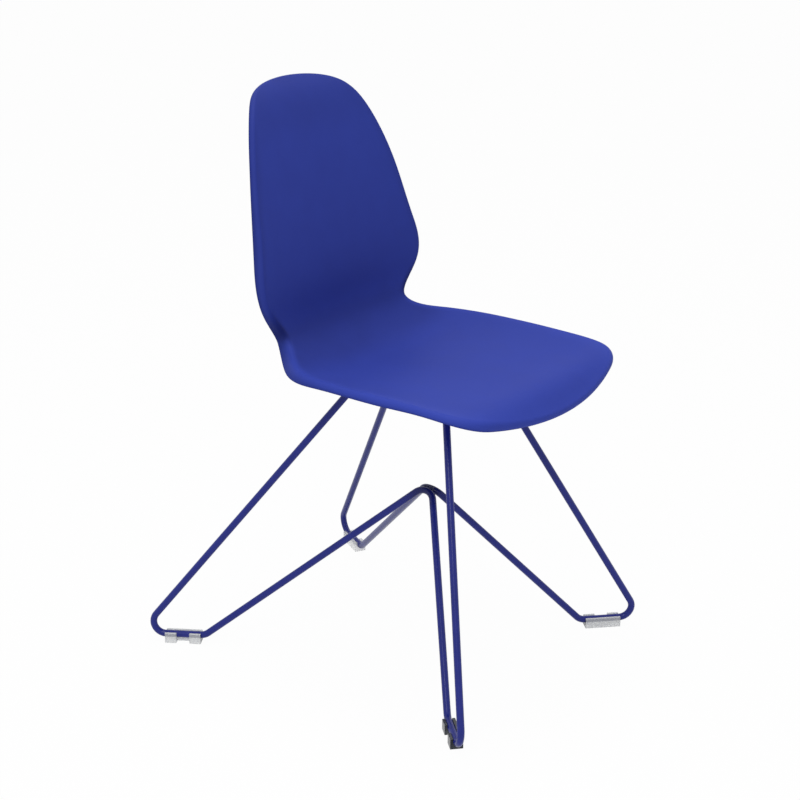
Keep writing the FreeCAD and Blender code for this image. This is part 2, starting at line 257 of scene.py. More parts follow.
# %% A fair curve through uneven places
class Fair:
    """Natural cubic of one value over uneven places, for whole arrays at once."""

    def __init__(self, places, values):
        self.places, self.values = np.array(places), np.array(values)
        step, n = np.diff(self.places), len(self.places)
        rise = np.diff(self.values) / step
        grid, right = np.eye(n), np.zeros(n)
        for i in range(1, n - 1):
            grid[i, i - 1:i + 2] = step[i - 1], 2 * (step[i - 1] + step[i]), step[i]
            right[i] = 6 * (rise[i] - rise[i - 1])
        self.bend, self.step, self.rise = np.linalg.solve(grid, right), step, rise

    def span(self, at):
        """For each place: its span, how far in it lies, and what the cubic needs there."""
        i = np.clip(np.searchsorted(self.places, at) - 1, 0, len(self.step) - 1)
        h, m0, m1 = self.step[i], self.bend[i], self.bend[i + 1]
        return i, at - self.places[i], h, m0, m1, self.rise[i] - h * (2 * m0 + m1) / 6

    def value(self, at):
        i, t, h, m0, m1, start = self.span(at)
        return self.values[i] + t * (start + t * (m0 / 2 + t * (m1 - m0) / (6 * h)))

    def slope(self, at):
        i, t, h, m0, m1, start = self.span(at)
        return start + t * (m0 + t * (m1 - m0) / (2 * h))


# %% The shell's measures as fair curves
run = np.concatenate([[0], np.cumsum(np.hypot(*np.diff(stations[:, :2], axis=0).T))])
length = run[-1]
spots = 2 * run / length - 1
wide = np.empty(len(spots))
wide[1:-1] = stations[1:-1, 2] / np.sqrt(1 - spots[1:-1] ** 2)
wide[[0, -1]] = np.sqrt(np.array([crown_radius, front_radius]) * length / 2)
back, up, dish, roll_radius, skirt_length = (
    Fair(spots, stations[:, column]) for column in (0, 1, 3, 4, 5))
width = Fair(spots, wide)
print("length of the middle line:", round(length, 1), "mm")


# %% A point and a normal of the upper face
nudge = 0.0005    # a short step, across or along, to feel a slope


def shell_point(across, along):
    """A point of the upper face. Across and along run from -1 to 1 over a round sheet."""
    dy, dz = back.slope(along), up.slope(along)
    size = np.hypot(dy, dz)
    x = across * width.value(along)
    lift = dish.value(along) * (np.abs(x) / dish_reference) ** dish_power
    return np.stack([x, back.value(along) + lift * dz / size,
                     seat_height + up.value(along) - lift * dy / size], -1)


def unit(vectors):
    return vectors / np.linalg.norm(vectors, axis=-1, keepdims=True)


def shell_normal(across, along):
    side = shell_point(across + nudge, along) - shell_point(across - nudge, along)
    down = shell_point(across, along + nudge) - shell_point(across, along - nudge)
    return -unit(np.cross(side, down))


# %% [markdown]
# ## The rolled rim
# A thin sheet of plastic would look and feel sharp, so the real shell turns its edge over:
# a quarter roll, then a short skirt that is deepest at the waist, where the shell needs
# most stiffness. The section below follows that turn outside, rounds the free edge, and
# comes back along the inside with an even wall.

# %% The rim's section
roll_steps, edge_round = 9, 0.9


def rim_section(radius, skirt):
    """Rings of (outwards, upwards) for each place on the outline, from top to bottom."""
    turns = [rim_turn * i / roll_steps for i in range(roll_steps + 1)]
    along = np.array([math.cos(rim_turn), -math.sin(rim_turn)])
    inward = -np.array([math.sin(rim_turn), math.cos(rim_turn)])

    def ring(outward, upward):
        return np.stack([outward + 0 * radius, upward + 0 * radius], -1)

    rolled = [ring(radius * math.sin(a), radius * (math.cos(a) - 1)) for a in turns]
    tip = rolled[-1] + skirt[:, None] * along
    inner_tip = tip + inward * edge_thickness
    inner = radius - wall
    inside = [ring(inner * math.sin(a), inner * math.cos(a) - radius) for a in turns[::-1]]
    cut = np.minimum(edge_round, 0.8 * skirt)[:, None]

    def corner(before, at, after):
        one, two = at + unit(before - at) * cut, at + unit(after - at) * cut
        return [one * (1 - t) ** 2 + at * 2 * t * (1 - t) + two * t * t
                for t in (0, 0.3, 0.7, 1)]

    nose = corner(rolled[-1], tip, inner_tip) + corner(tip, inner_tip, inside[0])
    return rolled[1:] + nose + inside[:-1]


# %% [markdown]
# ## One closed skin
# A fan of triangles would leave a pole in the middle of the seat that shows as a pinch in
# the gloss. So a square grid is spread over the round sheet instead, once for the upper
# face and once, a wall lower, for the underside. The rings of the rim then join the two
# along the outline, and the whole shell is one closed mesh.

# %% The upper and the lower face
cells_along, cells_across = 132, 84


def disc_place(a, b):
    """A square spread evenly over a disc: a along, b across."""
    return b * np.sqrt(1 - a * a / 2), a * np.sqrt(1 - b * b / 2)


a, b = np.meshgrid(np.linspace(-1, 1, cells_along + 1),
                   np.linspace(-1, 1, cells_across + 1), indexing="ij")
across, along = disc_place(a, b)
upper, normals = shell_point(across, along), shell_normal(across, along)
lower = upper - normals * wall
count = across.size
number = np.arange(count).reshape(across.shape)
outline = np.concatenate([number[0, :-1], number[:-1, -1], number[-1, :0:-1],
                          number[:0:-1, 0]])
print("points on the upper face:", count, "of which on the outline:", len(outline))

# %% The rings of the rim
just_inside = 0.99
angle = np.arctan2(along.ravel()[outline], across.ravel()[outline])


def outline_point(angle, share=1.0):
    """A point of the upper face on its outline, or a share of the way out to it."""
    return shell_point(np.cos(angle) * share, np.sin(angle) * share)


start, lift = upper.reshape(-1, 3)[outline], normals.reshape(-1, 3)[outline]
out = unit(np.cross(outline_point(angle + nudge) - outline_point(angle - nudge), lift))
away = start - outline_point(angle, just_inside)
out *= np.sign(np.sum(out * away, 1, keepdims=True))
radius = roll_radius.value(np.sin(angle))
skirt = np.maximum(skirt_length.value(np.sin(angle)), shortest_skirt)
rings = [start + out * ring[:, :1] + lift * ring[:, 1:]
         for ring in rim_section(radius, skirt)]
print("rim rings:", len(rings))

# %% Join skin, rim and underside
quads = np.stack([number[:-1, :-1], number[:-1, 1:], number[1:, 1:], number[1:, :-1]], -1)
quads = quads.reshape(-1, 4)
loops = [outline] + [2 * count + i * len(outline) + np.arange(len(outline))
                     for i in range(len(rings))] + [outline + count]
faces = [quads, quads[:, ::-1] + count]
for one, two in zip(loops, loops[1:]):
    faces.append(np.stack([one, np.roll(one, -1), np.roll(two, -1), two], -1))
points = np.concatenate([upper.reshape(-1, 3), lower.reshape(-1, 3)] + rings)
skin = mesh_object("shell_skin", points, np.concatenate(faces))


def outward(target):
    """Turns all faces of a closed mesh outwards and gives its volume in cubic metres."""
    work = bmesh.new()
    work.from_mesh(target.data)
    bmesh.ops.recalc_face_normals(work, faces=work.faces)
    volume = work.calc_volume(signed=True)
    if volume < 0:
        bmesh.ops.reverse_faces(work, faces=work.faces)
    work.to_mesh(target.data)
    work.free()
    return abs(volume)


print("shell skin volume:", round(outward(skin) * 1e6, 1), "cm3,",
      len(skin.data.polygons), "faces")

# %% [markdown]
# ## Marks that the finish can read
# Vertex attributes tell the material where the rolled rim is, which face is the underside,
# and where light and shade are painted into the colour. They travel with the mesh, so the
# pattern stays with the surface. Down the middle line a place runs from -1 at the top edge,
# through about 0 at the waist, to 1 at the front edge, and each mark fades in and out
# between two places.

# %% Where the rim and the underside are
rim_from, rim_beneath, underside_from = 0.93, 0.4, 0.55
from_middle = np.hypot(across, along).ravel()
rim_share = np.clip((from_middle - rim_from) / (1 - rim_from), 0, 1) ** 2
rim_rows = np.repeat(np.linspace(0, 1, len(rings)), len(outline))
rim = np.concatenate([rim_share, rim_share * rim_beneath, np.ones(len(rim_rows))])
under = np.concatenate([np.zeros(count), np.ones(count), rim_rows > underside_from])
print("rim attribute on", len(rim), "vertices")


# %% Where light and shade are painted
def ease(values, start, end):
    """Rises softly from 0 at start to 1 at end, whichever of the two is larger."""
    t = np.clip((values - start) / (end - start), 0, 1)
    return t * t * (3 - 2 * t)


spot = np.concatenate([along.ravel(), along.ravel()] + [np.sin(angle)] * len(rings))
# Painted shade in the fold, on the top of the back and on the back's rim, and a dark
# painted shade in the crease of the waist. The free edge of the rim is made darker.
fold = ease(spot, -0.13, -0.05) * ease(spot, 0.22, 0.04) * (1 - rim)
top_of_back, back_rim = ease(spot, -0.70, -0.95), 0.7 * rim * ease(spot, -0.15, -0.35)
crease = 0.8 * rim * ease(spot, -0.22, -0.10) * ease(spot, 0.01, -0.09)
free_edge = np.concatenate([np.zeros(2 * count), 0.5 * (np.abs(rim_rows - 0.5) < 0.16)])
# Painted light on the seat and its rim, painted shade on the back, in the fold and in the
# crease of the waist.
marks = {
    "rim": rim, "under": under,
    "sat_on": ease(spot, 0.22, 0.72), "rubbed": rim * ease(spot, 0.02, 0.14),
    "handled": np.maximum(np.maximum(top_of_back, back_rim), fold),
    "grime": np.maximum(crease, free_edge)}
for name, values in marks.items():
    layer = skin.data.attributes.new(name, "FLOAT", "POINT")
    layer.data.foreach_set("value", values.astype(np.float32))
    print(name, "marks a share of", round(float(values.mean()), 3))
skin.data.materials.append(satin_plastic)
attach(skin, "root")

# %% [markdown]
# ## Glossy powder coat for the frame
# The rods are sprayed with powder and baked. The coat levels into a hard gloss with a very
# slight orange peel, and it is a touch more violet than the plastic. Over the welds the
# same paint is made nearly black, and a dark painted shade covers the rods for a few
# centimetres round the weld where they meet, under the seat.

# %% The frame's finish
rod_shade_middle = (0.0, 2.0, 249.0)    # just under the weld where the rods meet
rod_shade_reach = 1 / 24                # in metres


def paint_finish(name, dark, light):
    f = Finish(name)
    speck_blue, rod_shade_blue = (0.07, 0.09, 0.42, 1.0), (0.006, 0.008, 0.055, 1.0)
    cloud, peel = f.noise(16.0, 3.0), f.noise(1.8, rough=0.45)
    speck = (f.noise(0.5, 1.0) * 9.0 - 6.3).clamped()
    colour = f.blend(speck * 0.25, f.blend(cloud, dark, light), speck_blue)
    # A dark painted shade on the rods round their crossing, fading out over a few
    # centimetres.
    from_weld = f.node("ShaderNodeVectorMath", {"operation": "DISTANCE"},
                       {0: f.place(), 1: place(rod_shade_middle)[0]}, out=1)
    rod_shaded = (1.0 - from_weld * (1 / rod_shade_reach)).clamped()
    colour = f.blend(rod_shaded * 0.95, colour, rod_shade_blue)
    roughness = 0.24 + cloud * 0.08 + peel * 0.05
    return f.finish(Base_Color=colour, Roughness=roughness,
                    Normal=f.bump(peel, 0.05, 0.40),
                    Coat_Weight=0.08 + cloud * 0.05, Coat_Roughness=0.06,
                    Specular_IOR_Level=0.20)


powder_coat = paint_finish("glossy_blue_powder_coat", (0.012, 0.019, 0.190, 1.0),
                           (0.019, 0.029, 0.270, 1.0))
# The paint over the welds is made nearly black.
weld_paint = paint_finish("paint_over_weld", (0.006, 0.008, 0.060, 1.0),
                          (0.012, 0.016, 0.120, 1.0))
print("finishes:", powder_coat.name, "and", weld_paint.name)

# %% [markdown]
# ## Bent rods with Geometry Nodes
# Each rod is one closed loop: under the seat, down to the back foot, up to the crossing in
# the middle, down to the front foot and back up. A workshop bends it round one tool, so all
# bends share one radius. That is a path with rounded corners and a round section, which
# Geometry Nodes make from seven corner points: fillet the curve, then sweep a circle.

# %% Helpers for a node tree
def new_tree(name, inputs):
    """A tree with a geometry in and out, and named inputs: name -> kind of socket."""
    tree = bpy.data.node_groups.new(name, "GeometryNodeTree")
    for key, kind in {"Geometry": "Geometry", **inputs}.items():
        tree.interface.new_socket(key, in_out="INPUT", socket_type="NodeSocket" + kind)
    tree.interface.new_socket("Geometry", in_out="OUTPUT", socket_type="NodeSocketGeometry")
    return tree


def step(tree, kind, settings=None, inputs=None):
    """One node. An input is a value, a socket, or a node whose first output is used."""
    made = tree.nodes.new(kind)
    for key, value in (settings or {}).items():
        setattr(made, key, value)
    for key, value in (inputs or {}).items():
        if isinstance(value, bpy.types.Node):
            value = value.outputs[0]
        if isinstance(value, bpy.types.NodeSocket):
            tree.links.new(value, made.inputs[key])
        else:
            made.inputs[key].default_value = value
    return made


def times(tree, one, two):
    return step(tree, "ShaderNodeMath", {"operation": "MULTIPLY"}, {0: one, 1: two})


def end_tree(tree, geometry, material):
    """Makes instances real, gives them their material and closes the tree."""
    real = step(tree, "GeometryNodeRealizeInstances", {}, {0: geometry})
    done = step(tree, "GeometryNodeSetMaterial", {},
                {"Geometry": real, "Material": material})
    step(tree, "NodeGroupOutput", {}, {0: done})
    return tree


def run_tree(source, tree, name, values):
    """Runs the tree on an object with these input values and keeps the plain mesh."""
    modifier = source.modifiers.new(tree.name, "NODES")
    modifier.node_group = tree
    for item in tree.interface.items_tree:
        if item.in_out == "INPUT" and item.name in values:
            modifier[item.identifier] = values[item.name]
    return flatten(source, name)


# %% The tree that sweeps a rod
def rod_tree():
    tree = new_tree("bent_rod", {"Rod diameter": "Float", "Bend radius": "Float",
                                 "Steps in a bend": "Int", "Sides": "Int",
                                 "Material": "Material"})
    given = step(tree, "NodeGroupInput").outputs
    path = step(tree, "GeometryNodeMeshToCurve", {}, {0: given["Geometry"]})
    bent = step(tree, "GeometryNodeFilletCurve", {"mode": "POLY"}, {
        "Curve": path, "Radius": given["Bend radius"], "Count": given["Steps in a bend"],
        "Limit Radius": True})
    ring = step(tree, "GeometryNodeCurvePrimitiveCircle", {}, {
        "Resolution": given["Sides"], "Radius": times(tree, given["Rod diameter"], 0.5)})
    tube = step(tree, "GeometryNodeCurveToMesh", {}, {"Curve": bent, "Profile Curve": ring})
    even = step(tree, "GeometryNodeSetShadeSmooth", {}, {0: tube})
    return end_tree(tree, even, given["Material"])


# %% The corners of the two rods
rod_diameter, bend_radius, rod_floor_z, seat_run_z = 10.3, 19.0, 11.35, 426.35
rod_radius = rod_diameter / 2
crossing_x, crossing_height = -3.92, 261.2
half_corners = [(44.0, 80.0, seat_run_z), (244.7, 359.3, rod_floor_z),
                (194.3, 274.1, rod_floor_z), (crossing_x, 0.0, crossing_height),
                (179.0, -156.5, rod_floor_z), (244.1, -224.1, rod_floor_z),
                (57.5, -64.5, seat_run_z)]
print("corners of each rod:", len(half_corners))


def rod_corners(side):
    """The seven corners of the rod on the left, 1, or on the right, -1."""
    return np.array(half_corners) * [side, 1, 1]


# %% The two rods
rod_maker = rod_tree()
both_sides = ((-1, "right"), (1, "left"))
for side, name in both_sides:
    wire = mesh_object("path_" + name, rod_corners(side),
                       edges=[(i, (i + 1) % 7) for i in range(7)])
    rod = run_tree(wire, rod_maker, "bent_rod_" + name, {
        "Rod diameter": rod_diameter / 1000, "Bend radius": bend_radius / 1000,
        "Steps in a bend": 14, "Sides": 36, "Material": powder_coat})
    print(rod.name, len(rod.data.polygons), "faces,", round(outward(rod) * 1e6, 1), "cm3")
    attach(rod, "root")
    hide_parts("rod_" + name)

# %% [markdown]
# ## Clear glides
# Four clips of clear plastic keep the rods off the floor. Each has a sole, a whole cheek on
# the inner side and two tabs on the outer side that snap over the rod. One clip is cut from
# a block with Boolean modifiers, softened with a Bevel, and set under each foot.
#
# Clear plastic this thick looks milky where the floor lies behind it, and dark where the
# painted rod does: along the upper half of the cheeks. A tint does that here, because a
# glass shader loses such small clips against a white floor. The cut ends get a painted
# shade, faint on the back left clip. The clip under the back left foot is half see-through,
# as hardly any of it shows on the floor, and the one under the front right foot is tinted
# nearly black, darker towards the bottom.

# %% The glides' finish
def glide_finish():
    f = Finish("clear_glide_plastic")
    frosted, bright = (0.84, 0.86, 0.87, 1.0), (0.95, 0.955, 0.95, 1.0)
    rod_blue, smoke_grey = (0.035, 0.045, 0.150, 1.0), (0.012, 0.017, 0.026, 1.0)
    rod_low = 0.0098    # in metres: above it a cheek has the rod behind it
    haze, scuff = f.noise(9.0), f.noise(1.6, 3.0, stretch=(1.0, 1.0, 4.0))
    scratches = (scuff * 5.0 - 2.9).clamped()
    height = f.node("ShaderNodeSeparateXYZ", {}, {0: f.place()}, out=2)
    rod_behind = ((height - rod_low) * 900.0).clamped() * f.attribute("outside")
    colour = f.blend(rod_behind * 0.45, f.blend(haze, frosted, bright), rod_blue)
    # The front right clip is tinted nearly black, darker towards the bottom.
    smoke = f.attribute("smoke") * (1.0 - height * 2.0)
    # The cut ends get a painted shade, as strong as end_shade gives it.
    dark = (f.attribute("end") * f.attribute("end_shade") + smoke * 0.97).clamped()
    colour = f.blend(dark, colour, smoke_grey)
    roughness = 0.18 + haze * 0.08 + scratches * 0.15
    return f.finish(Base_Color=colour, Roughness=roughness, Normal=f.bump(scuff, 0.03, 0.3),
                    Transmission_Weight=0.22, IOR=1.49, Specular_IOR_Level=0.25,
                    Alpha=1.0 - f.attribute("clear"))


clear_plastic = glide_finish()
print("finish:", clear_plastic.name)

# %% Blocks and cylinders to cut with
cheek, lip, mouth_width, clip_length, tab = 3.8, 3.9, 9.6, 54.0, 17.0
clip_height, half_width = rod_floor_z + lip, rod_radius + cheek
play, soft_edge = 0.05, 0.9
print("one clip is", clip_length, "by", 2 * half_width, "by", clip_height, "mm")


def block(name, low, high):
    low, high = np.minimum(low, high), np.maximum(low, high)
    corners = [[(low, high)[(i >> k) & 1][k] for k in range(3)] for i in range(8)]
    quads = [(0, 2, 3, 1), (4, 5, 7, 6), (0, 1, 5, 4), (2, 6, 7, 3), (0, 4, 6, 2),
             (1, 3, 7, 5)]
    return mesh_object(name, corners, quads, smooth=False, pattern=True)


def cylinder(name, radius, half, height, sides=64):
    turns = 2 * np.pi * np.arange(sides) / sides
    rim = np.stack([0 * turns, radius * np.cos(turns), height + radius * np.sin(turns)], 1)
    around = [(i, (i + 1) % sides, (i + 1) % sides + sides, i + sides)
              for i in range(sides)]
    caps = [tuple(range(sides))[::-1], tuple(range(sides, 2 * sides))]
    return mesh_object(name, np.concatenate([rim - [half, 0, 0], rim + [half, 0, 0]]),
                       around + caps, pattern=True)


# %% One clip, cut from a block
def cut_out(target, cutter):
    """A Boolean modifier that takes the cutter out of the target."""
    outward(cutter)
    cut = target.modifiers.new(cutter.name, "BOOLEAN")
    cut.operation, cut.solver, cut.object = "DIFFERENCE", "EXACT", cutter


clip = block("clip", (-clip_length / 2, -half_width, 0),
             (clip_length / 2, half_width, clip_height))
outward(clip)
cutters = [cylinder("channel", rod_radius + play, clip_length, rod_floor_z),
           block("mouth", (-clip_length, -mouth_width / 2, rod_floor_z),
                 (clip_length, mouth_width / 2, 3 * rod_floor_z)),
           block("notch", (-clip_length / 2 + tab, 0, -rod_floor_z),
                 (clip_length / 2 - tab, 3 * half_width, 3 * rod_floor_z))]
for cutter in cutters:
    cut_out(clip, cutter)
bevel = clip.modifiers.new("soften", "BEVEL")
bevel.width, bevel.segments = soft_edge / 1000, 3
bevel.limit_method, bevel.angle_limit = "ANGLE", math.radians(35)
clip = flatten(clip, "clip_pattern")
clip.data.shade_flat()
for cutter in cutters:
    bpy.data.objects.remove(cutter)
print("one clip:", len(clip.data.polygons), "faces,", round(outward(clip) * 1e9), "mm3")

# %% Mark the clip's ends and outer cheeks
skin_depth = 1.2    # how far in from the outermost face the softened edge still counts


def mark_faces(target, name, wanted):
    """A face attribute that is 1 where wanted(normal, centre in mm) holds."""
    marks = [float(wanted(face.normal, face.center * 1000))
             for face in target.data.polygons]
    target.data.attributes.new(name, "FLOAT", "FACE").data.foreach_set("value", marks)
    print(name, "faces:", int(sum(marks)))


mark_faces(clip, "end", lambda n, c: abs(n.x) > 0.6
           and abs(c.x) > clip_length / 2 - skin_depth)
mark_faces(clip, "outside", lambda n, c: n.y * c.y > 0 and abs(n.y) > 0.5
           and abs(c.y) > half_width - skin_depth)


# %% Where a rod lies flat on the floor
def bend_ends(before, corner, after):
    """Where the bend at a corner starts and ends."""
    one, two = unit(before - corner), unit(after - corner)
    reach = bend_radius / math.tan(math.acos(float(one @ two)) / 2)
    return corner + one * reach, corner + two * reach


def foot(side, outer, inner):
    """Middle and turn of the flat stretch between two corners of a rod."""
    c = rod_corners(side)
    bends = [bend_ends(c[k - 1], c[k], c[(k + 1) % 7]) for k in (outer, inner)]
    flat = [p for bend in bends for p in bend if abs(p[2] - rod_floor_z) < 0.01]
    outwards = unit(np.cross([0, 0, 1], flat[1] - flat[0]))
    if outwards[0] * side < 0:
        outwards = -outwards
    return (flat[0] + flat[1]) / 2, math.atan2(-outwards[0], outwards[1])


feet = {}
for side, side_name in both_sides:
    feet["back_" + side_name] = foot(side, 1, 2)
    feet["front_" + side_name] = foot(side, 5, 4)
for name, (middle, turn) in feet.items():
    print("foot", name, "at", [round(float(v), 1) for v in middle], "turned",
          round(math.degrees(turn), 1))


# %% [markdown]
# ## Repeats with Geometry Nodes
# Clips, bosses and screws all repeat: one pattern, set on points that carry their own turn
# about the vertical. One tree serves them all.

# %% The tree that sets a pattern on points
def repeat_tree():
    tree = new_tree("pattern_on_points", {"Pattern": "Object", "Size": "Float",
                                          "Material": "Material"})
    given = step(tree, "NodeGroupInput").outputs
    pattern = step(tree, "GeometryNodeObjectInfo", {"transform_space": "ORIGINAL"},
                   {"Object": given["Pattern"]})
    spots = step(tree, "GeometryNodeMeshToPoints", {}, {"Mesh": given["Geometry"]})
    turn = step(tree, "GeometryNodeInputNamedAttribute", {"data_type": "FLOAT"},
                {"Name": "turn"})
    about_z = step(tree, "ShaderNodeCombineXYZ", {}, {2: turn})
    turned = step(tree, "FunctionNodeEulerToRotation", {}, {0: about_z})
    placed = step(tree, "GeometryNodeInstanceOnPoints", {}, {
        "Points": spots, "Instance": pattern.outputs["Geometry"],
        "Rotation": turned, "Scale": given["Size"]})
    return end_tree(tree, placed, given["Material"])


repeat_maker = repeat_tree()
print("tree:", repeat_maker.name, "with", len(repeat_maker.nodes), "nodes")


# %% A repeat as one plain mesh
def repeat(name, pattern, points, material, **marks):
    """The pattern at each point. Each mark is a number for every repeat: its turn about
    the vertical, or something that the material reads."""
    carrier = mesh_object("spots", points)
    for key, values in {"turn": np.zeros(len(points)), **marks}.items():
        layer = carrier.data.attributes.new(key, "FLOAT", "POINT")
        layer.data.foreach_set("value", np.asarray(values, np.float32))
    made = run_tree(carrier, repeat_maker, name,
                    {"Pattern": pattern, "Size": 1.0, "Material": material})
    bpy.data.objects.remove(pattern)
    print(name, "-", len(points), "repeats,", len(made.data.polygons), "faces")
    return made


# %% Set the four glides
# The front right clip is tinted nearly black, and the cut ends get a painted shade, faint
# on the back left clip.
glides = repeat("foot_glides", clip, [(m[0], m[1], 0.0) for m, _ in feet.values()],
                clear_plastic, turn=[turn for _, turn in feet.values()],
                smoke=[name == "front_right" for name in feet],
                end_shade=[0.15 if name == "back_left" else 0.85 for name in feet],
                clear=[0.5 if name == "back_left" else 0.0 for name in feet])
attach(glides, "root")
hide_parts(*["glide_" + name for name in feet])

# %% [markdown]
# ## Bosses under the seat
# Four short posts are moulded under the seat to take the brass inserts. Each flares into
# the wall, because a sharp corner there would crack. A post is a turned shape, so it comes
# from a profile that is carried round the vertical and then repeated.

# %% Clean a pattern
def merge_points(target):
    """Joins points that lie on one another and drops the empty faces between them."""
    work = bmesh.new()
    work.from_mesh(target.data)
    bmesh.ops.remove_doubles(work, verts=work.verts, dist=1e-6)
    bmesh.ops.dissolve_degenerate(work, edges=work.edges, dist=1e-7)
    work.to_mesh(target.data)
    work.free()
    outward(target)


# %% A turned pattern
def turned_pattern(name, profile, sides=48):
    """A closed solid of revolution about Z from (radius, height) pairs in millimetres."""
    profile = np.array(profile, float)
    turns = 2 * np.pi * np.arange(sides) / sides
    points = np.stack([np.outer(np.cos(turns), profile[:, 0]),
                       np.outer(np.sin(turns), profile[:, 0]),
                       np.outer(np.ones(sides), profile[:, 1])], -1).reshape(-1, 3)
    n = len(profile)
    faces = [(i * n + j, ((i + 1) % sides) * n + j, ((i + 1) % sides) * n + (j + 1) % n,
              i * n + (j + 1) % n) for i in range(sides) for j in range(n)]
    made = mesh_object(name, points, faces, pattern=True)
    merge_points(made)
    return made


# %% The four bosses
strap_top_z, strap_ys, screw_x = 434.5, (52.0, -40.0), 76.0
bore_radius, foot_radius, post_radius, flare_radius, sunk = 4.2, 9.1, 10.5, 2.6, 1.2
screw_spots = np.array([(side * screw_x, y, strap_top_z)
                        for y in strap_ys for side in (-1, 1)])
lower_points = lower.reshape(-1, 3)
nearest = [np.argmin(np.hypot(*(lower_points[:, :2] - spot[:2]).T)) for spot in screw_spots]
under_heights = lower_points[nearest, 2] - strap_top_z
print("boss heights:", [round(float(h), 2) for h in under_heights])
reach = float(under_heights.min())
quarter = np.linspace(0, math.pi / 2, 7)
flare = [(post_radius + flare_radius * (1 - math.cos(t)),
          reach - flare_radius + flare_radius * math.sin(t)) for t in quarter]
boss = turned_pattern("boss", [
    (bore_radius, 0), (foot_radius, 0), (foot_radius + 0.3, 0.12),
    (foot_radius + 0.45, 0.5), *flare, (post_radius + flare_radius, reach + sunk),
    (bore_radius, reach + sunk)])
bosses = repeat("seat_bosses", boss, screw_spots, satin_plastic)
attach(bosses, "root")
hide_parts("shell")

# %% [markdown]
# ## Zinc and brass
# The fasteners are never seen by the sitter, but they are what holds the chair together.
# Zinc plating is pale with a soft turned grain, and brass is warmer. Washers, inserts and
# straps keep the shape that the construction model gives them and only take a finish. The
# straps are painted with the rods, so theirs is the powder coat.

# %% Finishes for metal parts
def metal_finish(name, tone):
    f = Finish(name)
    cloud, grain = f.noise(3.0, 3.0), f.noise(0.6, stretch=(1.0, 1.0, 6.0))
    dark, light = [tuple(level * t for t in tone) + (1.0,) for level in (0.72, 1.0)]
    return f.finish(Base_Color=f.blend(cloud, dark, light), Metallic=1.0,
                    Roughness=0.28 + cloud * 0.14 + grain * 0.10,
                    Normal=f.bump(grain, 0.03, 0.5))


screw_zinc = metal_finish("zinc_plated_screw", (0.62, 0.63, 0.65))
washer_zinc = metal_finish("zinc_plated_washer", (0.68, 0.69, 0.70))
brass = metal_finish("turned_brass", (0.72, 0.55, 0.28))

# %% Finish the construction's own pieces
for node, material in (("washers", washer_zinc), ("threaded_inserts", brass),
                       ("strap_rear", powder_coat), ("strap_front", powder_coat)):
    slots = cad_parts[node].data.materials
    slots.clear()
    slots.append(material)
    print(node, "in", material.name)

# %% [markdown]
# ## Screws
# The four screws are button heads with a hexagon socket. The head is turned from a profile
# with a domed rim, the socket is cut out of it with a Boolean, and the finished screw is
# set under each strap hole.

# %% The screw's profile
head_radius, head_low, head_seat, socket_depth, key_width = 5.75, -8.2, -4.6, 2.0, 4.0
crown_flat, dome_height, shank_radius, shank_top = 3.1, 2.4, 3.0, 7.5
head_chamfer, shank_chamfer = 0.3, 0.5
dome = [(crown_flat + (head_radius - crown_flat) * math.sin(t),
         head_low + dome_height * (1 - math.cos(t)))
        for t in np.linspace(0, math.pi / 2, 9)]
screw = turned_pattern("screw", [
    (0, head_low), *dome, (head_radius, head_seat - head_chamfer),
    (head_radius - head_chamfer, head_seat), (shank_radius, head_seat),
    (shank_radius, shank_top - shank_chamfer), (shank_radius - shank_chamfer, shank_top),
    (0, shank_top)])
print("a screw is", round(shank_top - head_low, 1), "mm long")

# %% The socket and the four screws
corner_reach = key_width / math.sqrt(3)
hexagons = [(corner_reach * math.cos(math.radians(60 * k)),
             corner_reach * math.sin(math.radians(60 * k)), z)
            for z in (head_low - 1, head_low + socket_depth) for k in range(6)]
socket = mesh_object("socket", hexagons, [(5, 4, 3, 2, 1, 0), (6, 7, 8, 9, 10, 11)]
                     + [(k, (k + 1) % 6, (k + 1) % 6 + 6, k + 6) for k in range(6)],
                     pattern=True)
cut_out(screw, socket)
screw = flatten(screw, "screw_pattern")
bpy.data.objects.remove(socket)
merge_points(screw)
socket_reach = 2.6    # faces nearer the axis than this are the socket's, and stay flat
for polygon in screw.data.polygons:
    middle = polygon.center
    polygon.use_smooth = math.hypot(middle.x, middle.y) * 1000 > socket_reach
screws = repeat("seat_screws", screw, screw_spots, screw_zinc)
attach(screws, "root")
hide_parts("screws")

# %% [markdown]
# ## Weld beads
# A weld laid by hand freezes in small overlapping scales. One tree follows each short
# path, sets a flat scale across it at even steps, and changes the size of each a little,
# with a fixed seed. The beads lie beside the rods under the straps and in the valley where
# the rods meet, and the paint goes over them.

# %% The tree that lays a bead
def bead_tree():
    tree = new_tree("weld_bead", {"Step": "Float", "Flatness": "Float", "Seed": "Int",
                                  "Material": "Material"})
    given = step(tree, "NodeGroupInput").outputs
    path = step(tree, "GeometryNodeMeshToCurve", {}, {0: given["Geometry"]})
    spots = step(tree, "GeometryNodeResampleCurve", {"mode": "LENGTH"},
                 {"Curve": path, "Length": given["Step"]})
    scale = step(tree, "GeometryNodeMeshUVSphere", {},
                 {"Segments": 20, "Rings": 12, "Radius": 1.0})
    heading = step(tree, "FunctionNodeAlignRotationToVector", {"axis": "X"},
                   {"Vector": step(tree, "GeometryNodeInputTangent")})
    radius = step(tree, "GeometryNodeInputNamedAttribute", {"data_type": "FLOAT"},
                  {"Name": "bead_radius"})
    change = step(tree, "FunctionNodeRandomValue", {"data_type": "FLOAT"},
                  {2: 0.93, 3: 1.04, "Seed": given["Seed"]})
    size = times(tree, radius, change.outputs[1])
    thin = times(tree, size, given["Flatness"])
    shape = step(tree, "ShaderNodeCombineXYZ", {}, {0: thin, 1: size, 2: size})
    placed = step(tree, "GeometryNodeInstanceOnPoints", {}, {
        "Points": spots, "Instance": scale, "Rotation": heading, "Scale": shape})
    even = step(tree, "GeometryNodeSetShadeSmooth", {}, {0: placed})
    return end_tree(tree, even, given["Material"])


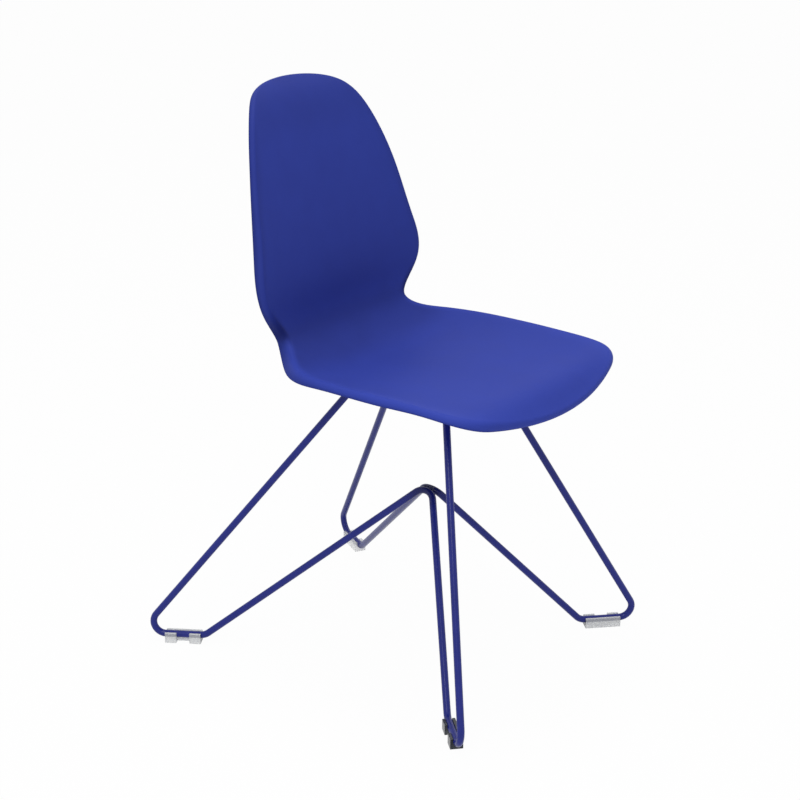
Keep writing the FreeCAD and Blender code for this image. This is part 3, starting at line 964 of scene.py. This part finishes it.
# %% Beads between straps and rods
strap_thickness, beside, below, half_bead, bead_radius = 3.0, 3.35, 1.1, 10.6, 1.55
ends, sizes = [], []
for side, _ in both_sides:
    top_back, top_front = rod_corners(side)[[0, 6]]
    line = unit(top_front - top_back)
    aside = np.array([-line[1], line[0], 0])
    for strap_y in strap_ys:
        under_strap = top_back + line * (strap_y - top_back[1]) / line[1]
        under_strap[2] = strap_top_z - strap_thickness - below
        for hand in (-1, 1):
            middle = under_strap + aside * hand * beside
            ends += [middle - line * half_bead, middle + line * half_bead]
            sizes += [bead_radius, bead_radius]
print("beads under the straps:", len(ends) // 2)

# %% The bead in the valley between the rods, and all beads
half_valley, valley_radius, valley_rise = 7.0, 2.8, 0.62
before, corner, after = rod_corners(1)[2:5]
one, two = unit(before - corner), unit(after - corner)
half_angle = math.acos(float(one @ two)) / 2
bend_top = corner + unit(one + two) * bend_radius * (1 / math.sin(half_angle) - 1)
valley = np.array([0, bend_top[1], bend_top[2] + rod_radius * valley_rise])
ends += [valley - [0, half_valley, 0], valley + [0, half_valley, 0]]
sizes += [valley_radius, valley_radius]
paths = mesh_object("bead_paths", ends, edges=[(i, i + 1) for i in range(0, len(ends), 2)])
layer = paths.data.attributes.new("bead_radius", "FLOAT", "POINT")
layer.data.foreach_set("value", np.array(sizes, np.float32) / 1000)
beads = run_tree(paths, bead_tree(), "weld_beads", {
    "Step": 0.0013, "Flatness": 0.55, "Seed": 7, "Material": weld_paint})
print("weld beads:", len(ends) // 2, "with", len(beads.data.polygons), "faces")
print("the valley is at", [round(float(v), 1) for v in valley])
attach(beads, "root")
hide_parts("welds")

# %% [markdown]
# ## Camera
# The camera stands in front of the chair, to the sitter's right, at shoulder height, with
# a long lens that keeps the uprights nearly parallel.

# %% The camera
def stand(name, data, location, target):
    """An object at a place that looks at another place, both in metres."""
    made = add_object(name, data)
    made.location = location
    aim = Vector(target) - made.location
    made.rotation_euler = aim.to_track_quat("-Z", "Y").to_euler()
    return made


camera = stand("camera", bpy.data.cameras.new("camera"),
               place([-1842.4, -1282.9, 1204.1])[0], place([-72.6, 0.0, 408.6])[0])
camera.data.lens, camera.data.sensor_width = 75.53, 36.0
camera.data.clip_start, camera.data.clip_end = 0.05, 50
camera.data.shift_x, camera.data.shift_y = -0.0006, 0.0006
bpy.context.scene.camera = camera
print("camera at", [round(v, 3) for v in camera.location], "with", camera.data.lens, "mm")

# %% [markdown]
# ## Soft studio light on a pale floor
# A white room lights the chair from all round, and one large soft lamp overhead makes the
# seat brighter than the back. A second soft lamp on the camera's side lifts the near rim,
# and a small one beside it draws a thin glint along the rods. The floor is pale and shows
# only a faint shadow. The camera sees the room as white, and so do gloss and clear plastic.

# %% Floor
def seen_directly(f):
    """1 where the camera, a gloss or clear plastic looks, and 0 for light that bounces."""
    camera_ray, glossy_ray, clear_ray = (
        f.node("ShaderNodeLightPath", out="Is " + kind + " Ray")
        for kind in ("Camera", "Glossy", "Transmission"))
    return (camera_ray + glossy_ray + clear_ray).clamped()


def floor_material():
    f = Finish("pale_floor")
    grain = f.noise(260.0)
    colour = f.blend(grain, (0.90, 0.90, 0.905, 1.0), (0.94, 0.94, 0.945, 1.0))
    lit = f.node("ShaderNodeBsdfDiffuse", {}, {"Color": colour})
    white = f.node("ShaderNodeEmission", {}, {"Color": (1, 1, 1, 1), "Strength": 1.0})
    share = seen_directly(f) * 0.97
    return f.close(f.node("ShaderNodeMixShader", {}, {0: share, 1: lit, 2: white}))


far = 9000
floor = mesh_object("floor", [(-far, -far, 0), (far, -far, 0), (far, far, 0),
                              (-far, far, 0)], [(0, 1, 2, 3)])
floor.data.materials.append(floor_material())
print("floor:", 2 * far / 1000, "m square")

# %% Room and lamps
room_light = 0.44    # what the chair gets from the room, where the camera sees 1


def white_room():
    f = Finish("room", "worlds")
    strength = seen_directly(f) * (1.0 - room_light) + room_light
    return f.close(f.node("ShaderNodeBackground", {}, {
        "Color": (1, 1, 1, 1), "Strength": strength}), "World")


bpy.context.scene.world = white_room()
for name, location, target, size, watts in (
        ("overhead", (0, 0.1, 2.8), (0, 0, 0.45), 1.1, 24),
        ("side", (-1.7, -0.9, 2.0), (0, 0, 0.45), 1.2, 14),
        ("glint", (-1.9, -0.7, 2.3), (0, 0, 0.3), 0.22, 3)):
    light = bpy.data.lights.new(name, "AREA")
    light.shape, light.size, light.energy = "DISK", size, watts
    stand(name, light, location, target)
    print("lamp:", name, size, "m wide,", watts, "W")
bpy.context.scene.view_settings.view_transform = "Standard"
